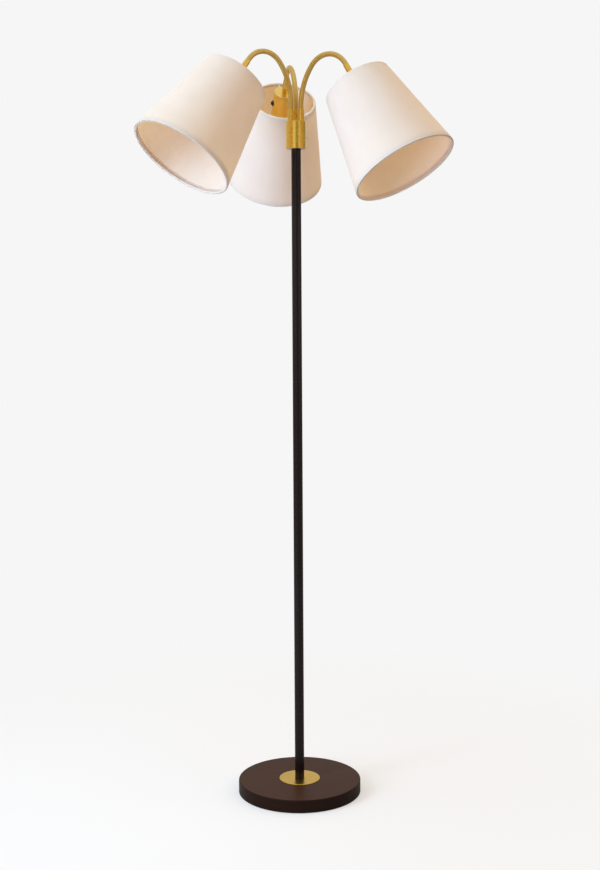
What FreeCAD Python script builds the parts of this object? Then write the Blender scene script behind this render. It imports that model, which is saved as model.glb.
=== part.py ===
import FreeCAD, Part
import math
import os

# Floor lamp with three bendable arms, each carrying a conical fabric shade.
# Millimetres. The origin is the centre of the base's underside, on the floor. +Z is up,
# and the viewer of the usual front view stands on the -Y side.

# Foot
pad_thickness = 2.0
pad_margin = 4.0
base_diameter = 250.0
base_height = 26.8
base_skirt_lift = 1.0
base_sheet = 1.5
base_edge_radius = 2.0
weight_gap = 0.5
weight_margin = 2.0
nut_recess_radius = 22.0
nut_recess_height = 18.0
foot_disc_diameter = 83.0
foot_disc_thickness = 1.2
foot_disc_bevel = 0.5

# Pole: equal screwed sections
pole_diameter = 19.0
pole_wall = 1.2
section_length = 424.0
section_count = 3
section_chamfer = 0.5
bush_length = 20.0
stud_diameter = 10.0
stud_bore = 7.0
thread_clearance = 0.1
press_clearance = 0.05
nut_across_flats = stud_diameter + 7.0
nut_height = 6.0
nipple_head_height = 5.0
nipple_end_proud = 0.5
thread_end_margin = 2.0

# Collar that joins the arms to the pole
collar_diameter = 40.0
collar_height = 53.0
collar_wall = 1.6
collar_top = 3.0
collar_edge_radius = 1.0
collar_base_thickness = 4.0
sleeve_angles = {"left": -120.0, "right": 120.0, "back": 0.0}
sleeve_height = 22.0
sleeve_stud_length = 12.0
sleeve_nut_diameter = stud_diameter + 3.0
sleeve_nut_height = 3.0
sleeve_nut_clearance = 0.4
sleeve_circle_radius = collar_diameter / 2 - collar_wall - sleeve_nut_clearance - sleeve_nut_diameter / 2
terminal_size = (22.0, 13.0, 16.0)
terminal_entry_depth = 6.0
terminal_well_radius = 1.6
terminal_well_depth = 5.0

# Supply lead inside the pole and its inlet at the back of the base
lead_diameter = 5.5
lead_height = 5.6
lead_bend_radius = 7.0
lead_end_gap = 1.5
lead_hole_clearance = 0.3
channel_width = 8.0
channel_height = 8.4
gland_bore = 5.8
gland_body = 8.0
gland_flange = 10.6
gland_flange_thickness = 2.2
gland_reach = 3.5

# Bendable neck, cut into links with a ball joint between them
neck_diameter = 10.0
neck_root_diameter = 9.3
neck_bore = 5.0
neck_length = 205.0
end_sleeve_length = 26.0
link_count = 3
rib_pitch = 2.8
groove_side = 0.4
groove_floor = 0.5
cuff_length = 3.0
bend_limit = 18.0
link_clearance = 0.108
link_gap = neck_diameter * math.tan(math.radians(bend_limit / 2)) + 2 * link_clearance
socket_wall = 0.5
ball_clearance = 0.3
ball_radius = neck_diameter / 2 - socket_wall - ball_clearance
sleeve_step = 1.0
sleeve_diameter = neck_diameter + 2 * sleeve_step
end_sleeve_diameter = neck_diameter + 2 * sleeve_step
sleeve_wall = 2.0
pivot_radius = sleeve_diameter / 2 - sleeve_wall
pivot_length = 13.0
pivot_clearance = 0.07
pivot_end_gap = 1.0
shoulder_gap = 0.3

# Rest shape of each neck: straight rise, wide lower arc, tighter upper arc, straight end.
# Azimuth is clockwise from +Y seen from above, tilt is the shade's axis from the vertical.
arms = {
    "left": {
        "azimuth": -124.9,
        "tilt": 38.5,
        "rise": 16.0,
        "lower_radius": 114.8,
        "lower_turn": 39.2,
        "upper_radius": 44.5,
    },
    "right": {
        "azimuth": 125.5,
        "tilt": 33.2,
        "rise": 5.5,
        "lower_radius": 123.2,
        "lower_turn": 37.3,
        "upper_radius": 48.0,
    },
    "back": {
        "azimuth": -9.8,
        "tilt": 40.7,
        "rise": 7.7,
        "lower_radius": 86.4,
        "lower_turn": 73.9,
        "upper_radius": 49.5,
    },
}

# Lampholder cup
cup_top_diameter = 43.0
cup_bottom_diameter = 46.0
cup_height = 62.0
cup_wall = 1.0
cup_edge_radius = 1.5
spigot_length = 12.5

# Lampholder inside the cup
holder_diameter = 33.0
holder_crown_diameter = 19.0
holder_flange_thickness = 2.5
holder_skirt_diameter = 39.4
holder_skirt_length = 14.0
holder_thread_depth = 22.5
holder_floor = cup_height - holder_thread_depth
holder_bore = 26.8
holder_mouth = 30.4
holder_contact = 5.0
holder_contact_height = 0.5
holder_clearance = 0.15
holder_shoulder = 4.0
holder_mouth_offset = 4.0
holder_entry_gap = 0.5

# Push switch in the cup's side
switch_above_floor = 12.5
switch_depth = holder_floor - switch_above_floor
switch_block = (12.1, 12.0, 12.0)
switch_block_start = 5.4
switch_bush_diameter = 10.4
switch_flange_diameter = 12.0
switch_flange_thickness = 1.0
button_diameter = 7.0
button_clearance = 0.07
button_flange_diameter = 9.2
button_flange_thickness = 1.0
button_chamber_diameter = 9.8
button_front_wall = 1.0
button_back_wall = 3.0
button_stop_gap = 0.3
button_stem = 1.2
button_proud = 3.0
button_edge_radius = 0.8

# Shade: fabric cone with turned hems over two wire rings and a spoked hub
shade_drop = 20.0
shade_top_diameter = 133.0
shade_bottom_diameter = 205.0
shade_height = 195.0
shade_wall = 1.0
hem_sheet = 0.8
hem_depth = 8.0
ring_wire = 2.8
ring_gap = 0.3
lean_allowance = 0.05
spoke_wire = 3.0
spoke_count = 3
spoke_slit = 0.5
hub_diameter = 50.0
hub_thickness = 1.6
hub_clearance = 0.4
lock_ring_diameter = 52.0
lock_ring_height = 7.0
lock_ring_notches = 12
lock_ring_notch_radius = 2.0

# Bulb: opal globe on a screw cap
bulb_length = 78.0
bulb_globe_diameter = 45.0
bulb_cap_diameter = 26.2
bulb_cap_length = 26.0
bulb_tip_height = 5.0
bulb_neck_diameter = 25.6
bulb_glass_wall = 0.8

# Heights that follow
foot_top = base_height + foot_disc_thickness
pole_top = foot_top + section_count * section_length
collar_crown = pole_top + collar_height
neck_base = collar_crown + sleeve_height
flexible_length = neck_length - end_sleeve_length
link_length = flexible_length / link_count
hinge_stations = [link_length * (n + 1) for n in range(link_count)]
stud_radius = stud_diameter / 2
thread_hole_radius = stud_radius + thread_clearance
pole_bore_radius = pole_diameter / 2 - pole_wall
UP = FreeCAD.Vector(0, 0, 1)
ORIGIN = FreeCAD.Vector(0, 0, 0)


def vector(x, y, z):
    return FreeCAD.Vector(x, y, z)


def turned(outline):
    """Revolve a closed (radius, height) outline about Z.

    A pair of points in the outline is an arc's middle and end."""
    edges = []
    here = vector(outline[0][0], 0, outline[0][1])
    for step in outline[1:] + [outline[0]]:
        if isinstance(step[0], tuple):
            middle, end = (vector(r, 0, z) for r, z in step)
            edges.append(Part.Arc(here, middle, end).toShape())
        else:
            end = vector(step[0], 0, step[1])
            edges.append(Part.makeLine(here, end))
        here = end
    face = Part.Face(Part.Wire(edges))
    return face.revolve(ORIGIN, UP, 360)


def cylinder(radius, low, high):
    return Part.makeCylinder(radius, high - low, vector(0, 0, low))


def tube(outer, inner, low, high):
    return cylinder(outer, low, high).cut(cylinder(inner, low - 1, high + 1))


def hexagon(across_flats, low, high):
    corner = across_flats / math.sqrt(3)
    turns = [math.radians(60 * n) for n in range(7)]
    points = [vector(corner * math.cos(t), corner * math.sin(t), low) for t in turns]
    return Part.Face(Part.makePolygon(points)).extrude(vector(0, 0, high - low))


def rounded(shape, radius, chosen):
    return shape.makeFillet(radius, [e for e in shape.Edges if chosen(e)])


def is_circle_at(edge, radius, height):
    curve = edge.Curve
    if not isinstance(curve, Part.Circle):
        return False
    return abs(curve.Radius - radius) < 1e-6 and abs(curve.Center.z - height) < 1e-6


def save(name, *shapes):
    solids = [solid for shape in shapes for solid in shape.Solids]
    whole = solids[0] if len(solids) == 1 else Part.makeCompound(solids)
    whole.exportStep(os.path.join("parts", name + ".step"))
    print(name, len(solids), "solid(s)", round(whole.Volume), "mm3")


# ---- Foot ----


def base_pad():
    return cylinder(base_diameter / 2 - pad_margin, 0, pad_thickness)


def base_cover():
    outer = cylinder(base_diameter / 2, base_skirt_lift, base_height)
    outer = rounded(outer, base_edge_radius, lambda e: is_circle_at(e, base_diameter / 2, base_height))
    inner_radius = base_diameter / 2 - base_sheet
    inner = cylinder(inner_radius, base_skirt_lift - 1, base_height - base_sheet)
    inner = rounded(
        inner,
        base_edge_radius / 2,
        lambda e: is_circle_at(e, inner_radius, base_height - base_sheet),
    )
    shell = outer.cut(inner).cut(cylinder(thread_hole_radius, 0, base_height + 1))
    inlet = Part.makeCylinder(
        gland_body / 2 + press_clearance, base_diameter, vector(0, 0, lead_height), vector(0, 1, 0)
    )
    return shell.cut(inlet)


def base_weight():
    radius = base_diameter / 2 - base_sheet - weight_gap - weight_margin
    top = base_height - base_sheet
    body = cylinder(radius, pad_thickness, top)
    body = body.cut(cylinder(thread_hole_radius, 0, base_height))
    body = body.cut(cylinder(nut_recess_radius, 0, pad_thickness + nut_recess_height))
    channel = Part.makeBox(
        channel_width,
        base_diameter / 2,
        channel_height,
        vector(-channel_width / 2, 0, pad_thickness - 0.2),
    )
    return body.cut(channel)


def foot_disc():
    radius = foot_disc_diameter / 2
    bevel = foot_disc_bevel
    top = base_height + foot_disc_thickness
    return turned(
        [
            (thread_hole_radius, base_height),
            (radius, base_height),
            (radius, top - bevel),
            (radius - bevel, top),
            (thread_hole_radius, top),
        ]
    )


def foot_nut():
    top = pad_thickness + nut_recess_height
    nut = hexagon(nut_across_flats, top - nut_height, top)
    return nut.cut(cylinder(stud_radius + press_clearance, 0, base_height))


def foot_nipple():
    low = pad_thickness + nut_recess_height - nut_height - nipple_end_proud
    return tube(stud_radius, stud_bore / 2, low, foot_top + bush_length - thread_end_margin)


def cord_gland():
    wall = base_diameter / 2
    along = vector(0, 1, 0)
    body = Part.makeCylinder(
        gland_body / 2, gland_reach, vector(0, wall - gland_reach, lead_height), along
    )
    flange = Part.makeCylinder(
        gland_flange / 2, gland_flange_thickness, vector(0, wall, lead_height), along
    )
    bore = Part.makeCylinder(
        gland_bore / 2, 4 * gland_reach, vector(0, wall - 2 * gland_reach, lead_height), along
    )
    return body.fuse(flange).cut(bore).removeSplitter()


# ---- Pole ----


def pole_section(number):
    low = foot_top + number * section_length
    high = low + section_length
    radius = pole_diameter / 2
    edge = section_chamfer
    return turned(
        [
            (pole_bore_radius, low),
            (radius - edge, low),
            (radius, low + edge),
            (radius, high - edge),
            (radius - edge, high),
            (pole_bore_radius, high),
        ]
    )


def pole_bushes():
    bushes = []
    for number in range(section_count):
        low = foot_top + number * section_length
        for start in (low, low + section_length - bush_length):
            bushes.append(
                tube(
                    pole_bore_radius - press_clearance,
                    stud_radius + press_clearance,
                    start,
                    start + bush_length,
                )
            )
    return bushes


def pole_studs():
    reach = bush_length - thread_end_margin
    joints = [foot_top + section_length * n for n in range(1, section_count)]
    return [tube(stud_radius, stud_bore / 2, z - reach, z + reach) for z in joints]


# ---- Collar ----


def sleeve_centre(side):
    turn = math.radians(sleeve_angles[side])
    return vector(sleeve_circle_radius * math.sin(turn), sleeve_circle_radius * math.cos(turn), 0)


def collar():
    radius = collar_diameter / 2
    outer = cylinder(radius, pole_top, collar_crown)
    outer = rounded(outer, collar_edge_radius, lambda e: is_circle_at(e, radius, collar_crown))
    body = outer.cut(cylinder(radius - collar_wall, pole_top - 1, collar_crown - collar_top))
    for side in arms:
        hole = cylinder(thread_hole_radius, pole_top, collar_crown + 1)
        body = body.cut(hole.translated(sleeve_centre(side)))
    return body


def collar_base():
    radius = collar_diameter / 2 - collar_wall - press_clearance
    return tube(radius, thread_hole_radius, pole_top, pole_top + collar_base_thickness)


def collar_nipple_top():
    return pole_top + collar_base_thickness + nipple_head_height


def collar_nipple():
    seat = pole_top + collar_base_thickness
    head = hexagon(nut_across_flats, seat, collar_nipple_top())
    shank = cylinder(stud_radius, pole_top - bush_length + thread_end_margin, seat)
    return head.fuse(shank).cut(cylinder(stud_bore / 2, 0, collar_crown)).removeSplitter()


def terminal_block():
    length, width, height = terminal_size
    seat = collar_nipple_top()
    block = Part.makeBox(length, width, height, vector(-length / 2, -width / 2, seat))
    entry = cylinder(lead_diameter / 2 + lead_hole_clearance, 0, seat + terminal_entry_depth)
    block = block.cut(entry)
    for x in (-length / 3, 0, length / 3):
        screw_well = cylinder(terminal_well_radius, seat + height - terminal_well_depth, seat + height + 1)
        block = block.cut(screw_well.translated(vector(x, 0, 0)))
    return block


def supply_lead():
    radius = lead_diameter / 2
    inner_end = base_diameter / 2 - gland_reach - lead_end_gap
    top = collar_nipple_top() + terminal_entry_depth - 1
    bend = lead_bend_radius
    low = vector(0, inner_end, lead_height)
    bend_start = vector(0, bend, lead_height)
    bend_end = vector(0, 0, lead_height + bend)
    half = math.sqrt(0.5)
    bend_middle = vector(0, bend * (1 - half), lead_height + bend * (1 - half))
    path = Part.Wire(
        [
            Part.makeLine(low, bend_start),
            Part.Arc(bend_start, bend_middle, bend_end).toShape(),
            Part.makeLine(bend_end, vector(0, 0, top)),
        ]
    )
    section = Part.Wire(Part.makeCircle(radius, low, vector(0, -1, 0)))
    return path.makePipeShell([section], True, False)


def neck_sleeves():
    low = collar_crown - sleeve_stud_length
    pocket = neck_base - pivot_length - pivot_end_gap
    sleeves = []
    for side in arms:
        body = cylinder(sleeve_diameter / 2, collar_crown, neck_base)
        body = body.fuse(cylinder(stud_radius, low, collar_crown)).removeSplitter()
        body = body.cut(cylinder(pivot_radius + pivot_clearance, pocket, neck_base + 1))
        body = body.cut(cylinder(neck_bore / 2, low - 1, neck_base))
        sleeves.append(body.translated(sleeve_centre(side)))
    return sleeves


def sleeve_nuts():
    top = collar_crown - collar_top
    nuts = []
    for side in arms:
        nut = tube(sleeve_nut_diameter / 2, stud_radius + press_clearance, top - sleeve_nut_height, top)
        nuts.append(nut.translated(sleeve_centre(side)))
    return nuts


# ---- Necks ----


def arm_normal(side):
    turn = math.radians(arms[side]["azimuth"])
    return vector(math.cos(turn), -math.sin(turn), 0)


def neck_station(side, along):
    """Outward distance, height and direction (radians from +Z, outward) at a length along the neck."""
    arm = arms[side]
    full_turn = math.radians(180 - arm["tilt"])
    first_turn = math.radians(arm["lower_turn"])
    out, height, turn = 0.0, neck_base, 0.0
    stretches = (
        (arm["rise"], 0.0),
        (arm["lower_radius"] * first_turn, arm["lower_radius"]),
        (arm["upper_radius"] * (full_turn - first_turn), arm["upper_radius"]),
        (2 * neck_length, 0.0),
    )
    for length, radius in stretches:
        step = min(along, length)
        if radius:
            after = turn + step / radius
            out += radius * (math.cos(turn) - math.cos(after))
            height += radius * (math.sin(after) - math.sin(turn))
            turn = after
        else:
            out += step * math.sin(turn)
            height += step * math.cos(turn)
        along -= step
        if along <= 0:
            break
    return out, height, turn


def oriented(place, along, across):
    """Placement with +Z along the second vector and +X along the third."""
    third = along.cross(across)
    return FreeCAD.Placement(
        FreeCAD.Matrix(
            across.x, third.x, along.x, place.x,
            across.y, third.y, along.y, place.y,
            across.z, third.z, along.z, place.z,
            0, 0, 0, 1,
        )
    )


def on_neck(side, along):
    """Point on the neck's centre line and the direction in which the neck runs there."""
    out, height, turn = neck_station(side, along)
    azimuth = math.radians(arms[side]["azimuth"])
    outward = vector(math.sin(azimuth), math.cos(azimuth), 0)
    place = sleeve_centre(side) + outward * out + UP * height
    return place, outward * math.sin(turn) + UP * math.cos(turn)


def neck_frame(side, along):
    """Placement on the neck: Z runs along it, X stays square to the arm's upright plane."""
    place, forward = on_neck(side, along)
    return oriented(place, forward, arm_normal(side))


def ring_on_neck(side, along, radius):
    circle = Part.Wire(Part.makeCircle(radius))
    circle.Placement = neck_frame(side, along)
    return circle


def rib_stations(start, end):
    """(length along, radius) of the circles of one link: plain cuffs at both ends, ribs between."""
    crest = neck_diameter / 2
    root = neck_root_diameter / 2
    low, high = start + cuff_length, end - cuff_length
    count = round((high - low) / rib_pitch)
    pitch = (high - low) / count
    steps = (
        (groove_side, root),
        (groove_side + groove_floor, root),
        (2 * groove_side + groove_floor, crest),
        (pitch, crest),
    )
    circles = [(start, crest), (low, crest)]
    for n in range(count):
        circles += [(low + n * pitch + step, radius) for step, radius in steps]
    circles.append((end, crest))
    return circles


def neck_link(side, number):
    first = number == 0
    low_hinge = 0.0 if first else hinge_stations[number - 1]
    high_hinge = hinge_stations[number]
    start = shoulder_gap if first else low_hinge + link_gap / 2
    end = high_hinge - link_gap / 2
    rings = [ring_on_neck(side, s, r) for s, r in rib_stations(start, end)]
    body = Part.makeLoft(rings, True, True)
    ball = Part.makeSphere(ball_radius)
    ball.Placement = neck_frame(side, high_hinge)
    body = body.fuse(ball)
    if first:
        pivot = cylinder(pivot_radius, neck_base - pivot_length, neck_base + shoulder_gap + 1)
        body = body.fuse(pivot.translated(sleeve_centre(side)))
    else:
        socket = Part.makeSphere(ball_radius + ball_clearance)
        socket.Placement = neck_frame(side, low_hinge)
        body = body.cut(socket)
    return body.cut(neck_passage(side, low_hinge - ball_radius - 1, high_hinge + ball_radius + 1, first))


def neck_passage(side, start, end, first):
    """Solid of the bore from one length along the neck to another."""
    step = rib_pitch
    count = math.ceil((end - start) / step)
    stations = [start + (end - start) * n / count for n in range(count + 1)]
    rings = [ring_on_neck(side, max(s, 0.0), neck_bore / 2) for s in stations if s > 0]
    bore = Part.makeLoft(rings, True, True)
    if first:
        entry = cylinder(neck_bore / 2, neck_base - pivot_length - 1, neck_base + cuff_length)
        bore = bore.fuse(entry.translated(sleeve_centre(side)))
    return bore


# ---- Heads: heights are measured from the cup's top, and +Z points back up the neck ----


def head_placement(side):
    """Turn the head so that its +Z runs back up the neck and its +X is square to the arm's plane."""
    place, forward = on_neck(side, neck_length)
    return oriented(place, forward * -1, arm_normal(side))


def cup_radius(depth):
    slope = (cup_bottom_diameter - cup_top_diameter) / 2 / cup_height
    return cup_top_diameter / 2 + slope * depth


def end_sleeve():
    top = end_sleeve_length - link_gap / 2
    body = cylinder(end_sleeve_diameter / 2, 0, top)
    body = body.fuse(cylinder(stud_radius, -spigot_length, 0)).removeSplitter()
    socket = Part.makeSphere(ball_radius + ball_clearance, vector(0, 0, end_sleeve_length))
    return body.cut(socket).cut(cylinder(neck_bore / 2, -spigot_length - 1, top + 1))


def cup():
    top, bottom, edge, wall = cup_radius(0), cup_radius(cup_height), cup_edge_radius, cup_wall
    lean = edge * (1 - math.sqrt(0.5))
    shell = turned(
        [
            (thread_hole_radius, 0),
            (top - edge, 0),
            ((top - lean, -lean), (top, -edge)),
            (bottom, -cup_height),
            (bottom - wall, -cup_height),
            (top - wall, -edge),
            (top - edge, -wall),
            (thread_hole_radius, -wall),
        ]
    )
    return shell.cut(switch_hole(switch_bush_diameter / 2 + thread_clearance))


def switch_hole(radius):
    start = cup_radius(switch_depth) - 6
    return Part.makeCylinder(radius, 12, vector(-start, 0, -switch_depth), vector(-1, 0, 0))


def holder():
    flange = cup_radius(cup_height - holder_flange_thickness) - cup_wall - holder_clearance
    body = holder_diameter / 2
    skirt_end = cup_height + holder_skirt_length
    mouth_start = cup_height + holder_mouth_offset
    shell = turned(
        [
            (thread_hole_radius, -cup_wall),
            (holder_crown_diameter / 2, -cup_wall),
            (body, -cup_wall - holder_shoulder),
            (body, -(cup_height - holder_flange_thickness)),
            (flange, -(cup_height - holder_flange_thickness)),
            (flange, -cup_height),
            (holder_skirt_diameter / 2, -cup_height),
            (holder_skirt_diameter / 2, -skirt_end),
            (holder_mouth / 2, -skirt_end),
            (holder_mouth / 2, -mouth_start),
            (holder_bore / 2, -mouth_start),
            (holder_bore / 2, -holder_floor),
            (holder_contact / 2, -holder_floor),
            (holder_contact / 2, -holder_floor - holder_contact_height),
            (0, -holder_floor - holder_contact_height),
            (0, -spigot_length - holder_entry_gap),
            (thread_hole_radius, -spigot_length - holder_entry_gap),
        ]
    )
    depth, width, height = switch_block
    pocket = Part.makeBox(
        holder_diameter,
        width + 2 * press_clearance,
        height + 2 * press_clearance,
        vector(
            -switch_block_start + press_clearance - holder_diameter,
            -width / 2 - press_clearance,
            -switch_depth - height / 2 - press_clearance,
        ),
    )
    return shell.cut(pocket)


def switch_front():
    return cup_radius(switch_depth) + holder_clearance


def along_button(radius, near, far):
    """Cylinder on the button's axis, between two distances from the cup's axis."""
    return Part.makeCylinder(radius, far - near, vector(-near, 0, -switch_depth), vector(-1, 0, 0))


def switch_body():
    depth, width, height = switch_block
    end = switch_block_start + depth
    block = Part.makeBox(
        depth, width, height, vector(-end, -width / 2, -switch_depth - height / 2)
    )
    front = switch_front() + switch_flange_thickness
    body = block.fuse(along_button(switch_bush_diameter / 2, end - 1, front))
    body = body.fuse(along_button(switch_flange_diameter / 2, switch_front(), front))
    chamber_end = end - button_front_wall
    chamber_start = switch_block_start + button_back_wall
    body = body.cut(along_button(button_chamber_diameter / 2, chamber_start, chamber_end))
    return body.cut(along_button(button_diameter / 2 + button_clearance, chamber_end - 1, front + 1))


def switch_button():
    depth = switch_block[0]
    stop = switch_block_start + depth - button_front_wall - button_stop_gap
    tip = switch_front() + switch_flange_thickness + button_proud
    shaft = along_button(button_diameter / 2, stop - button_flange_thickness - button_stem, tip)
    rim = [e for e in shaft.Edges if len(e.Vertexes) == 1 and abs(e.CenterOfMass.x + tip) < 1e-6]
    shaft = shaft.makeFillet(button_edge_radius, rim)
    flange = along_button(button_flange_diameter / 2, stop - button_flange_thickness, stop)
    return shaft.fuse(flange).removeSplitter()


def shade_radius(depth):
    """Outer radius of the fabric at a depth under the shade's top edge."""
    slope = (shade_bottom_diameter - shade_top_diameter) / 2 / shade_height
    return shade_top_diameter / 2 + slope * depth


def ring_depths():
    inset = hem_sheet + ring_gap + ring_wire / 2
    return inset, shade_height - inset


def ring_radius(depth):
    return shade_radius(depth) - shade_wall - ring_gap - ring_wire / 2 - lean_allowance


def shade_fabric():
    pocket = ring_wire + 2 * (ring_gap + lean_allowance)
    inner = shade_wall
    flap_back = shade_wall + pocket
    flap_front = flap_back + hem_sheet
    last = shade_height

    def point(inset, depth):
        return (shade_radius(depth) - inset, -shade_drop - depth)

    cone = turned(
        [
            point(0, 0),
            point(0, last),
            point(flap_front, last),
            point(flap_front, last - hem_depth),
            point(flap_back, last - hem_depth),
            point(flap_back, last - hem_sheet),
            point(inner, last - hem_sheet),
            point(inner, hem_sheet),
            point(flap_back, hem_sheet),
            point(flap_back, hem_depth),
            point(flap_front, hem_depth),
            point(flap_front, 0),
        ]
    )
    for turn in spoke_turns():
        cone = cone.cut(spoke(spoke_wire / 2 + spoke_slit, turn))
    return cone


def spoke_turns():
    return [90 + 360 * n / spoke_count for n in range(spoke_count)]


def spoke(radius, turn):
    depth = ring_depths()[0]
    start = vector(ring_radius(depth), 0, -shade_drop - depth)
    end = vector(hub_diameter / 2 - radius, 0, -cup_height - hub_thickness / 2)
    wire = Part.makeCylinder(radius, (end - start).Length, start, end - start)
    wire.rotate(ORIGIN, UP, turn)
    return wire


def shade_frame():
    top_depth, bottom_depth = ring_depths()
    rings = []
    for depth in (top_depth, bottom_depth):
        rings.append(
            Part.makeTorus(ring_radius(depth), ring_wire / 2, vector(0, 0, -shade_drop - depth), UP)
        )
    inner = holder_skirt_diameter / 2 + hub_clearance
    hub = tube(hub_diameter / 2, inner, -cup_height - hub_thickness, -cup_height)
    carrier = hub
    for turn in spoke_turns():
        carrier = carrier.fuse(spoke(spoke_wire / 2, turn))
    above_hub = cylinder(hub_diameter / 2, -cup_height, -cup_height + spoke_wire)
    below_hub = cylinder(lock_ring_diameter, -cup_height - 2 * spoke_wire, -cup_height - hub_thickness)
    carrier = carrier.cut(above_hub).cut(below_hub).fuse(rings[0])
    return [carrier, rings[1]]


def shade_ring():
    top = -cup_height - hub_thickness
    body = tube(
        lock_ring_diameter / 2,
        holder_skirt_diameter / 2 + press_clearance,
        top - lock_ring_height,
        top,
    )
    for n in range(lock_ring_notches):
        turn = math.radians(360 * n / lock_ring_notches)
        notch = cylinder(lock_ring_notch_radius, top - lock_ring_height - 1, top + 1)
        reach = lock_ring_diameter / 2 + lock_ring_notch_radius / 2
        body = body.cut(notch.translated(vector(reach * math.cos(turn), reach * math.sin(turn), 0)))
    return body


def bulb_start():
    return holder_floor + holder_contact_height


def bulb_cap():
    top = -bulb_start()
    radius = bulb_cap_diameter / 2
    return turned(
        [
            (0, top),
            (0.31 * radius, top),
            (0.38 * radius, top - bulb_tip_height / 4),
            (0.72 * radius, top - bulb_tip_height / 2),
            (radius, top - bulb_tip_height),
            (radius, top - bulb_cap_length),
            (0, top - bulb_cap_length),
        ]
    )


def bulb_glass():
    start = -bulb_start() - bulb_cap_length
    globe = bulb_globe_diameter / 2
    centre = -bulb_start() - bulb_length + globe

    def skin(inset):
        neck = bulb_neck_diameter / 2 - inset
        ball = globe - inset
        join = centre + math.sqrt(ball**2 - neck**2)
        return neck, ball, join

    neck, ball, join = skin(0)
    neck_in, ball_in, join_in = skin(bulb_glass_wall)
    return turned(
        [
            (neck, start),
            (neck, join),
            ((ball, centre), (0, centre - ball)),
            (0, centre - ball_in),
            ((ball_in, centre), (neck_in, join_in)),
            (neck_in, start),
        ]
    )


HEAD_PIECES = {
    "end_sleeve": end_sleeve,
    "cup": cup,
    "holder": holder,
    "switch_body": switch_body,
    "switch_button": switch_button,
    "shade_frame": shade_frame,
    "shade_fabric": shade_fabric,
    "shade_ring": shade_ring,
    "bulb_cap": bulb_cap,
    "bulb_glass": bulb_glass,
}


def placed(shape, placement):
    copy = shape.copy()
    copy.Placement = placement.multiply(copy.Placement)
    return copy


os.makedirs("parts", exist_ok=True)

save("base_pad", base_pad())
save("base_weight", base_weight())
save("base_cover", base_cover())
save("foot_disc", foot_disc())
save("foot_nut", foot_nut())
save("foot_nipple", foot_nipple())
save("cord_gland", cord_gland())
for number, name in enumerate(("pole_lower", "pole_middle", "pole_upper")):
    save(name, pole_section(number))
save("pole_bushes", *pole_bushes())
save("pole_studs", *pole_studs())
save("collar", collar())
save("collar_base", collar_base())
save("collar_nipple", collar_nipple())
save("terminal_block", terminal_block())
save("supply_lead", supply_lead())
save("neck_sleeves", *neck_sleeves())
save("sleeve_nuts", *sleeve_nuts())

head_shapes = {}
for piece, make in HEAD_PIECES.items():
    made = make()
    head_shapes[piece] = made if isinstance(made, list) else [made]

for side in arms:
    for number in range(link_count):
        save(f"{side}_neck_{number + 1}", neck_link(side, number))
    for piece, shapes in head_shapes.items():
        save(f"{side}_{piece}", *[placed(s, head_placement(side)) for s in shapes])
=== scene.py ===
import math

import bmesh
import bpy
import numpy as np
from mathutils import Matrix, Vector


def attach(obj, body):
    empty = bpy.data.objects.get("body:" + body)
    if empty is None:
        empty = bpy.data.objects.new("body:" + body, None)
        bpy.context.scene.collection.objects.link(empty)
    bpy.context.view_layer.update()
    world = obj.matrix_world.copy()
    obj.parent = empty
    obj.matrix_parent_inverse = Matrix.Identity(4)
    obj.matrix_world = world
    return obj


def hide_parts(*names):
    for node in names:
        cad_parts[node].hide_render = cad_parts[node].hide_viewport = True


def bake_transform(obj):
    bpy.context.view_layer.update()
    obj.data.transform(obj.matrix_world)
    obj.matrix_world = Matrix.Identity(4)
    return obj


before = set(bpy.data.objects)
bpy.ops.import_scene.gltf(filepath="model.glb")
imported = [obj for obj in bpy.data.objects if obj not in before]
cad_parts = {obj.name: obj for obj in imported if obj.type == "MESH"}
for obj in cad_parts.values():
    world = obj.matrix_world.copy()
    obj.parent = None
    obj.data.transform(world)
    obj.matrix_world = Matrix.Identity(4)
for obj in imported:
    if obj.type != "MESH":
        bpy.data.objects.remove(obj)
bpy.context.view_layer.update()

# ---- Viewpoint ----
# The lamp is seen from 2.7 m in front of its pole, from a little above a metre up,
# looking slightly down and almost square on. The lens is a short telephoto.
eye = Vector((0.0, -2.7, 1.0461))
look_down, look_right, roll = (math.radians(a) for a in (6.521, 0.097, -0.3185))
forward = Vector(
    (
        math.sin(look_right) * math.cos(look_down),
        math.cos(look_right) * math.cos(look_down),
        -math.sin(look_down),
    )
)
sideways = Vector((math.cos(look_right), -math.sin(look_right), 0.0))
upward = sideways.cross(forward)
across = sideways * math.cos(roll) + upward * math.sin(roll)
upward = upward * math.cos(roll) - sideways * math.sin(roll)

camera = bpy.data.cameras.new("viewpoint")
camera.sensor_width = 36.0
camera.lens = 56.19
viewer = bpy.data.objects.new("viewpoint", camera)
bpy.context.scene.collection.objects.link(viewer)
turn = Matrix((across, upward, -forward)).transposed().to_4x4()
viewer.matrix_world = Matrix.Translation(eye) @ turn
bpy.context.scene.camera = viewer

# ---- Base ----
# A drawn steel dish with a small top radius, enamelled dark brown inside and out. It sits
# over a cast iron disc with a glued felt pad, and a nut under the iron clamps all of it.
base_radius, base_top, skirt_foot = 0.125, 0.0268, 0.001
base_sheet, base_shoulder = 0.0015, 0.002
stud_hole = 0.0051
gland_height, gland_hole = 0.0056, 0.0041


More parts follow.
